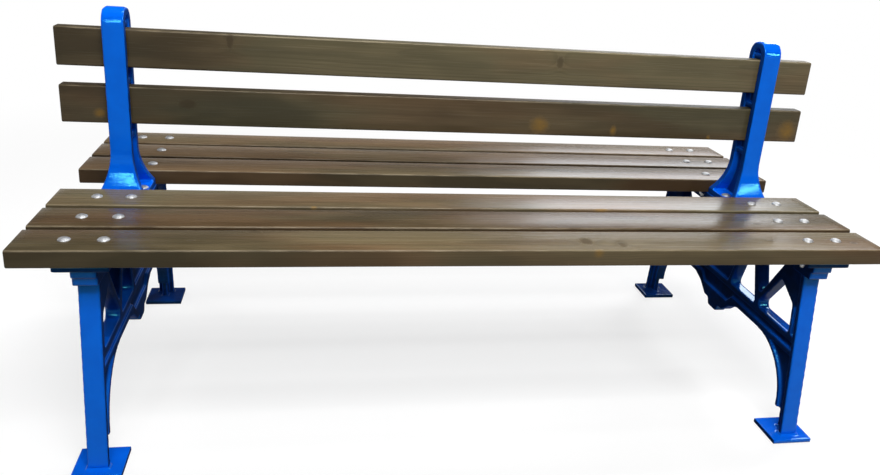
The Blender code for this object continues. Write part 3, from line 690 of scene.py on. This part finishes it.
def section_ring(half_depth, half_height, radius):
    """Points of a board's rounded section, round its middle, with the way that each one faces."""
    ring = []
    for quarter, (turn_y, turn_z) in enumerate(((1, 1), (-1, 1), (-1, -1), (1, -1))):
        for step in range(BOARD_CORNER_STEPS + 1):
            angle = (quarter + step / BOARD_CORNER_STEPS) * math.pi / 2
            facing = (math.cos(angle), math.sin(angle))
            ring.append((turn_y * (half_depth - radius) + radius * facing[0],
                         turn_z * (half_height - radius) + radius * facing[1], facing))
    return ring


def board_stations(half_length):
    """Places along a board, with the inset of its eased ends."""
    ends = [(half_length - back, inset) for back, inset in BOARD_END_EASE]
    reach = ends[-1][0]
    count = round(2 * reach / BOARD_STATION)
    middle = [(-reach + 2 * reach * step / count, 0.0) for step in range(1, count)]
    return [(-place, inset) for place, inset in ends] + middle + ends[::-1]


def stain_and_shade_depth(share, depths):
    """How dark a board is at a share of the way along it, from its two ends: partly stain, partly painted
    shade.
    """
    step = share_between(share, DEPTH_CHANGE)
    return depths[0] + (depths[1] - depths[0]) * step * step * (3 - 2 * step)


def make_board(node, pith, tilt, shift, warm, depths, narrow_stain_and_shade=NARROW_STAIN_AND_SHADE):
    """A planed board with hand-eased edges, and the place of each point in its tree."""
    low, high = (Vector(corner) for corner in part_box(node))
    middle = (low + high) / 2
    half = (high - low) / 2
    edit = bmesh.new()
    depth = edit.verts.layers.float.new("depth")
    warmth = edit.verts.layers.float.new("warmth")
    narrow = edit.verts.layers.float.new("narrow")
    arris = edit.verts.layers.float.new("arris")
    narrow_axis = 0 if half.y > half.z else 1
    rings = []
    for along, inset in board_stations(half.x):
        wear = noise.noise(Vector((along * BOARD_EDGE_NOISE + shift, shift, 0.0)))
        radius = BOARD_EDGE - BOARD_EDGE_CHANGE * wear
        darkening = stain_and_shade_depth(along / (2 * half.x) + 0.5, depths)
        ring = []
        for y, z, facing in section_ring(half.y - inset, half.z - inset, radius):
            vertex = edit.verts.new((middle.x + along, middle.y + y, middle.z + z))
            vertex[narrow] = facing[narrow_axis] ** 2
            # Upper arrises only: their pale colour is partly wear, partly a painted highlight where they
            # catch the light
            vertex[arris] = 4 * (facing[0] * max(0.0, facing[1])) ** 2
            # Narrow faces darker: partly stain, partly painted shade
            vertex[depth] = min(DEEPEST_STAIN_AND_SHADE, darkening + narrow_stain_and_shade * vertex[narrow])
            vertex[warmth] = warm
            ring.append(vertex)
        rings.append(ring)
    for ring, following in zip(rings, rings[1:]):
        for index in range(len(ring)):
            after = (index + 1) % len(ring)
            edit.faces.new((ring[index], ring[after], following[after], following[index]))
    edit.faces.new(rings[0][::-1])
    edit.faces.new(rings[-1])
    bmesh.ops.recalc_face_normals(edit, faces=edit.faces)
    mesh = to_mesh(edit, node)
    grain = mesh.attributes.new("grain", "FLOAT_VECTOR", "POINT")
    for index, vertex in enumerate(mesh.vertices):
        place = vertex.co - middle
        lean = tilt * place.x
        grain.data[index].vector = (place.x + shift, place.y + pith[0] + lean, place.z + pith[1])
    piece = new_object(node + "_planed", mesh, STAINED_WOOD)
    hand_over(settle(piece, BOARD_SHARP), [node])


# Heart of the tree from each board's middle, its lean along the board, the board's place in the
# trunk, its warmth, its darkening at both ends (partly stain, partly painted shade), and for some the
# darkening added on the narrow faces
make_board("seat_board_front_outer", (0.012, 0.048), 0.010, 3.1, 0.75, (0.72, 0.10), 0.32)
make_board("seat_board_front_middle", (-0.020, 0.062), -0.014, 7.7, 0.85, (0.66, 0.62))
make_board("seat_board_front_inner", (0.028, 0.055), 0.008, 12.4, 0.55, (0.05, 0.10))
make_board("seat_board_rear_inner", (-0.010, 0.070), 0.012, 17.9, 0.80, (0.16, 0.20), 0.75)
make_board("seat_board_rear_middle", (0.030, 0.044), -0.009, 22.3, 1.00, (0.0, 0.16))
make_board("seat_board_rear_outer", (-0.025, 0.058), 0.015, 27.6, 0.95, (0.0, 0.16))
make_board("back_board_lower", (0.052, 0.010), 0.006, 33.2, 0.35, (0.85, 0.60))
make_board("back_board_upper", (0.066, -0.018), -0.007, 38.8, 0.0, (0.85, 0.04))


# Bolts and screws

def place_parts(tree):
    """Node with the parts of each point's place."""
    place = place_node(tree, "GeometryNodeInputPosition").outputs[0]
    return place_node(tree, "ShaderNodeSeparateXYZ", {0: place})


def domed_head(tree, given):
    """Low dome of a bolt or screw head, flat underneath."""
    ball = place_node(tree, "GeometryNodeMeshUVSphere", {"Segments": 24, "Rings": 14, "Radius": 1.0})
    spot = place_parts(tree)
    rise = math_of(tree, "POWER", math_of(tree, "MAXIMUM", spot.outputs["Z"], 0.0), DOME_POWER)
    shaped = place_node(tree, "ShaderNodeCombineXYZ", {
        "X": math_of(tree, "MULTIPLY", spot.outputs["X"], given["Head Radius"]),
        "Y": math_of(tree, "MULTIPLY", spot.outputs["Y"], given["Head Radius"]),
        "Z": math_of(tree, "MULTIPLY", rise, given["Head Height"])})
    moved = place_node(tree, "GeometryNodeSetPosition", {"Geometry": ball.outputs["Mesh"],
                                                         "Position": shaped.outputs[0]})
    return moved.outputs["Geometry"]


def round_bar(tree, sides, radius, top, depth):
    """Upright bar from its top down."""
    sizes = {"Vertices": sides, "Radius": radius, "Depth": depth}
    bar = place_node(tree, "GeometryNodeMeshCylinder", sizes)
    middle = math_of(tree, "MULTIPLY_ADD", depth, -0.5, top)
    return lowered(tree, bar.outputs["Mesh"], middle)


def lowered(tree, geometry, height):
    """Geometry moved along the bolt."""
    shift = place_node(tree, "ShaderNodeCombineXYZ", {"Z": height})
    inputs = {"Geometry": geometry, "Translation": shift.outputs[0]}
    moved = place_node(tree, "GeometryNodeTransform", inputs)
    return moved.outputs["Geometry"]


def hexagon_nut(tree, radius, height, top):
    """Nut with both rims chamfered: the two inner rings spread out and the two end rings draw in."""
    blank = place_node(tree, "GeometryNodeMeshCylinder", {
        "Vertices": 6, "Side Segments": 3, "Radius": radius, "Depth": height})
    spot = place_parts(tree)
    reach = math_of(tree, "DIVIDE", math_of(tree, "ABSOLUTE", spot.outputs["Z"]), height)
    is_rim = math_of(tree, "GREATER_THAN", reach, NUT_RIM_START)
    draw_in = math_of(tree, "MULTIPLY_ADD", is_rim, NUT_DRAW_IN, 1.0)
    spread = math_of(tree, "MULTIPLY_ADD", is_rim, 1.0 - NUT_SPREAD, NUT_SPREAD)
    shaped = place_node(tree, "ShaderNodeCombineXYZ", {
        "X": math_of(tree, "MULTIPLY", spot.outputs["X"], draw_in),
        "Y": math_of(tree, "MULTIPLY", spot.outputs["Y"], draw_in),
        "Z": math_of(tree, "MULTIPLY", spot.outputs["Z"], spread)})
    nut = place_node(tree, "GeometryNodeSetPosition", {"Geometry": blank.outputs["Mesh"],
                                                       "Position": shaped.outputs[0]})
    return lowered(tree, nut.outputs["Geometry"], math_of(tree, "MULTIPLY_ADD", height, -0.5, top))


def thread_ridge(tree, radius, top, length):
    """Screw thread wound down the end of a bolt."""
    spiral = place_node(tree, "GeometryNodeCurveSpiral", {
        "Resolution": 14, "Rotations": THREAD_TURNS, "Start Radius": radius, "End Radius": radius,
        "Height": length})
    ridge = place_node(tree, "GeometryNodeCurvePrimitiveCircle", {
        "Resolution": 3, "Radius": THREAD_RADIUS})
    wound = place_node(tree, "GeometryNodeCurveToMesh", {
        "Curve": spiral.outputs["Curve"], "Profile Curve": ridge.outputs["Curve"], "Fill Caps": True})
    return lowered(tree, wound.outputs["Mesh"], math_of(tree, "SUBTRACT", top, length))


def joined(tree, parts):
    """Several geometries as one."""
    join = tree.nodes.new("GeometryNodeJoinGeometry")
    for part in parts:
        tree.links.new(part, join.inputs["Geometry"])
    return join.outputs["Geometry"]


def scatter(tree, given, result, shape):
    """Sets the shape on every point, each with its own turn, and ends the tree."""
    turn_range = {"Min": 0.0, "Max": 2 * math.pi, "Seed": given["Seed"]}
    turn = place_node(tree, "FunctionNodeRandomValue", turn_range, data_type="FLOAT")
    turn_value = [socket for socket in turn.outputs if socket.enabled][0]
    euler = place_node(tree, "ShaderNodeCombineXYZ", {"Z": turn_value})
    spin = place_node(tree, "FunctionNodeEulerToRotation", {0: euler.outputs[0]})
    aim = place_node(tree, "FunctionNodeAlignRotationToVector",
                     {"Rotation": spin.outputs[0], "Vector": given["Direction"]}, axis="Z")
    spread = place_node(tree, "GeometryNodeInstanceOnPoints", {
        "Points": given["Places"], "Instance": shape, "Rotation": aim.outputs[0]})
    real = place_node(tree, "GeometryNodeRealizeInstances", {"Geometry": spread.outputs["Instances"]})
    coated = place_node(tree, "GeometryNodeSetMaterial", {"Geometry": real.outputs["Geometry"],
                                                          "Material": given["Material"]})
    tree.links.new(coated.outputs["Geometry"], result[0])


FASTENER_INPUTS = (("Places", "Geometry"), ("Head Radius", "Float"), ("Head Height", "Float"),
                   ("Shank Radius", "Float"), ("Direction", "Vector"), ("Seed", "Int"),
                   ("Material", "Material"))


def make_bolt_tree():
    """Domed bolts with washer, nut and threaded end under a grip."""
    tree, given, result = new_group(
        "domed_bolts", "GeometryNodeTree",
        FASTENER_INPUTS + (("Grip", "Float"), ("Washer Radius", "Float"), ("Washer Thickness", "Float"),
                           ("Nut Radius", "Float"), ("Nut Height", "Float"), ("Tail", "Float")),
        (("Bolts", "Geometry"),))
    under_grip = math_of(tree, "MULTIPLY", given["Grip"], -1.0)
    under_washer = math_of(tree, "SUBTRACT", under_grip, given["Washer Thickness"])
    under_nut = math_of(tree, "SUBTRACT", under_washer, given["Nut Height"])
    shank = math_of(tree, "SUBTRACT", given["Tail"], under_nut)
    shape = joined(tree, (
        domed_head(tree, given),
        round_bar(tree, 16, given["Shank Radius"], 0.0, shank),
        round_bar(tree, 28, given["Washer Radius"], under_grip, given["Washer Thickness"]),
        hexagon_nut(tree, given["Nut Radius"], given["Nut Height"], under_washer),
        thread_ridge(tree, given["Shank Radius"], under_nut, given["Tail"])))
    scatter(tree, given, result, shape)
    return tree


def make_screw_tree():
    """Round-headed screws with a hexagon socket."""
    tree, given, result = new_group(
        "socket_screws", "GeometryNodeTree",
        FASTENER_INPUTS + (("Length", "Float"), ("Socket Radius", "Float")),
        (("Screws", "Geometry"),))
    socket = round_bar(tree, 6, given["Socket Radius"], SOCKET_TOP, SOCKET_DEPTH)
    head = place_node(tree, "GeometryNodeMeshBoolean", {0: domed_head(tree, given), 1: socket},
                      operation="DIFFERENCE", solver="EXACT")
    shape = joined(tree, (head.outputs["Mesh"],
                          round_bar(tree, 16, given["Shank Radius"], 0.0, given["Length"])))
    scatter(tree, given, result, shape)
    return tree


def make_fasteners(name, tree, nodes, places, values):
    """One mesh of fasteners, made by a tree on points at their places."""
    mesh = bpy.data.meshes.new(name)
    mesh.from_pydata(places, [], [])
    piece = new_object(name, mesh, ZINC)
    maker = piece.modifiers.new("maker", "NODES")
    maker.node_group = tree
    for item in tree.interface.items_tree:
        if item.in_out == "INPUT" and item.name in values:
            maker[item.identifier] = values[item.name]
    hand_over(settle(piece, FASTENER_SHARP), nodes)


BOLT_TREE = make_bolt_tree()
SCREW_TREE = make_screw_tree()
BOLT_SIZES = {"Head Radius": BOLT_HEAD_RADIUS, "Head Height": BOLT_HEAD_HEIGHT,
              "Shank Radius": BOLT_RADIUS, "Direction": (0.0, 0.0, 1.0), "Material": ZINC,
              "Washer Radius": WASHER_RADIUS, "Washer Thickness": WASHER_THICKNESS,
              "Nut Radius": NUT_RADIUS, "Nut Height": NUT_HEIGHT, "Tail": BOLT_TAIL}
SCREW_SIZES = {"Head Radius": SCREW_HEAD_RADIUS, "Head Height": SCREW_HEAD_HEIGHT,
               "Shank Radius": SCREW_RADIUS, "Direction": (0.0, 1.0, 0.0), "Material": ZINC,
               "Socket Radius": SOCKET_RADIUS}


def head_seat(node, head_height):
    """Middle of a bolt, at the underside of its head."""
    low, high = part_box(node)
    return ((low[0] + high[0]) / 2, (low[1] + high[1]) / 2, high[2] - head_height)


def make_bolts(name, prefix, seed):
    """Every bolt whose node has the prefix."""
    nodes = sorted(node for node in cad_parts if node.startswith(prefix))
    places = [head_seat(node, BOLT_HEAD_HEIGHT) for node in nodes]
    values = dict(BOLT_SIZES, Grip=places[0][2] - PLATE_UNDERSIDE, Seed=seed)
    make_fasteners(name, BOLT_TREE, nodes, places, values)


def make_back_screws():
    """The screws in the rear flanges of the posts."""
    nodes = sorted(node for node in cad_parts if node.startswith("back_screw"))
    places = []
    for node in nodes:
        low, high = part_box(node)
        seat = high[1] - SCREW_HEAD_HEIGHT
        places.append(((low[0] + high[0]) / 2, seat, (low[2] + high[2]) / 2))
    low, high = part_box(nodes[0])
    values = dict(SCREW_SIZES, Length=high[1] - low[1] - SCREW_HEAD_HEIGHT, Seed=SCREW_SEED)
    make_fasteners("back_screws", SCREW_TREE, nodes, places, values)


make_bolts("seat_bolts", "seat_bolt", SEAT_BOLT_SEED)
make_bolts("post_bolts", "post_bolt", POST_BOLT_SEED)
make_back_screws()


# Studio

def seen_ray(tree):
    """One for rays from the eye, in reflections and through clear things, or nothing."""
    ray = place_node(tree, "ShaderNodeLightPath").outputs
    return strongest(tree, [ray["Is Camera Ray"], ray["Is Glossy Ray"], ray["Is Transmission Ray"]])


def make_floor():
    """Pale floor: bright to the eye and in reflections, dimmer to the light that bounces off it."""
    mesh = bpy.data.meshes.new("studio_floor")
    corners = [(x * FLOOR_HALF, y * FLOOR_HALF, FLOOR_HEIGHT)
               for x, y in ((-1, -1), (1, -1), (1, 1), (-1, 1))]
    mesh.from_pydata(corners, [], [(0, 1, 2, 3)])
    material = bpy.data.materials.new("studio_floor")
    material.use_nodes = True
    tree = material.node_tree
    tree.nodes.clear()
    seen = seen_ray(tree)
    colour = colour_mix(tree, seen, (FLOOR_BOUNCE,) * 3, (FLOOR_SHOWN,) * 3)
    matt = place_node(tree, "ShaderNodeBsdfDiffuse", {"Color": colour})
    glow = place_node(tree, "ShaderNodeEmission", {"Color": (1.0, 1.0, 1.0, 1.0), "Strength": 1.0})
    away = length_of(tree, place_node(tree, "ShaderNodeTexCoord").outputs["Object"])
    share = ramp_of(tree, away, FLOOR_FADE[0], FLOOR_FADE[1], FLOOR_GLOW, 1.0)
    both = place_node(tree, "ShaderNodeMixShader", {
        0: math_of(tree, "MULTIPLY", seen, share), 1: matt.outputs[0], 2: glow.outputs[0]})
    place_node(tree, "ShaderNodeOutputMaterial", {"Surface": both.outputs[0]})
    new_object("studio_floor", mesh, material)


def make_lamp(name, place, aim, size, watts, tint=(1.0, 1.0, 1.0)):
    """A soft rectangular lamp turned towards a point."""
    light = bpy.data.lights.new(name, "AREA")
    light.shape = "RECTANGLE"
    light.size, light.size_y = size
    light.energy = watts
    light.color = tint
    lamp = bpy.data.objects.new(name, light)
    lamp.location = place
    lamp.rotation_euler = (Vector(aim) - Vector(place)).to_track_quat("-Z", "Y").to_euler()
    lamp.visible_camera = False
    scene.collection.objects.link(lamp)


def make_room():
    """Even, dim light from all round, with a pale wall behind the far edge of the floor."""
    room = bpy.data.worlds.new("studio_room")
    room.use_nodes = True
    scene.world = room
    tree = room.node_tree
    direction = place_node(tree, "ShaderNodeTexCoord").outputs["Generated"]
    height = place_node(tree, "ShaderNodeSeparateXYZ", {0: direction}).outputs["Z"]
    fade = ramp_of(tree, height, ROOM_FADE[0], ROOM_FADE[1], 1.0, 0.0)
    wall = math_of(tree, "MULTIPLY", seen_ray(tree), fade)
    back = tree.nodes["Background"]
    tree.links.new(colour_mix(tree, wall, (ROOM_LIGHT,) * 3, (1.0, 1.0, 1.0)), back.inputs["Color"])
    back.inputs["Strength"].default_value = 1.0


def make_camera():
    """Camera at the photograph's place, with its framing in the shift."""
    lens = bpy.data.cameras.new("photo_camera")
    lens.sensor_fit = "HORIZONTAL"
    lens.sensor_width = SENSOR_WIDTH
    lens.lens = SENSOR_WIDTH * FOCAL_PIXELS / IMAGE_SIZE[0]
    lens.shift_x = (IMAGE_SIZE[0] / 2 - CENTRE_PIXEL[0]) / IMAGE_SIZE[0]
    lens.shift_y = (CENTRE_PIXEL[1] - IMAGE_SIZE[1] / 2) / IMAGE_SIZE[0]
    lens.clip_start = 0.01
    camera = bpy.data.objects.new("photo_camera", lens)
    turn = (Matrix.Rotation(-CAMERA_YAW, 4, "Z")
            @ Matrix.Rotation(math.pi / 2 + CAMERA_PITCH, 4, "X")
            @ Matrix.Rotation(CAMERA_ROLL, 4, "Z"))
    camera.matrix_world = Matrix.Translation(CAMERA_PLACE) @ turn
    scene.collection.objects.link(camera)
    scene.camera = camera


make_floor()
make_room()

# Each lamp's place, the point it is turned to, its width and height, its watts, and for some a tint
make_lamp("front_softbox", (0.10, -2.00, 3.00), (0.0, -0.10, 0.45), (1.8, 1.0), 116.0)
make_lamp("left_glint", (-1.37, -3.05, 2.05), (-0.68, 0.0, 0.46), (0.08, 1.0), 13.0)
make_lamp("right_glint", (2.72, -3.05, 2.10), (0.68, 0.0, 0.46), (0.14, 1.0), 17.0)
make_lamp("overhead_softbox", (0.0, 0.20, 2.65), (0.0, 0.10, 0.44), (2.0, 0.5), 33.0)
make_lamp("rear_softbox", (3.10, 2.10, 3.10), (0.0, 0.10, 0.50), (1.4, 1.2), 80.0)
make_lamp("left_softbox", (-3.20, 1.40, 2.40), (0.0, 0.10, 0.40), (1.2, 1.2), 20.0)
make_lamp("rear_window", (2.08, 3.20, 2.11), (1.98, 0.0, 1.51), (1.85, 1.1), 46.0, WINDOW_TINT)
make_lamp("rear_window_side", (0.94, 3.20, 2.11), (0.90, 0.0, 1.51), (0.42, 1.1), 2.6, WINDOW_TINT)
make_lamp("rear_wall", (-0.90, 3.30, 1.60), (-0.90, 0.0, 1.20), (4.0, 1.6), 1.6)
make_camera()
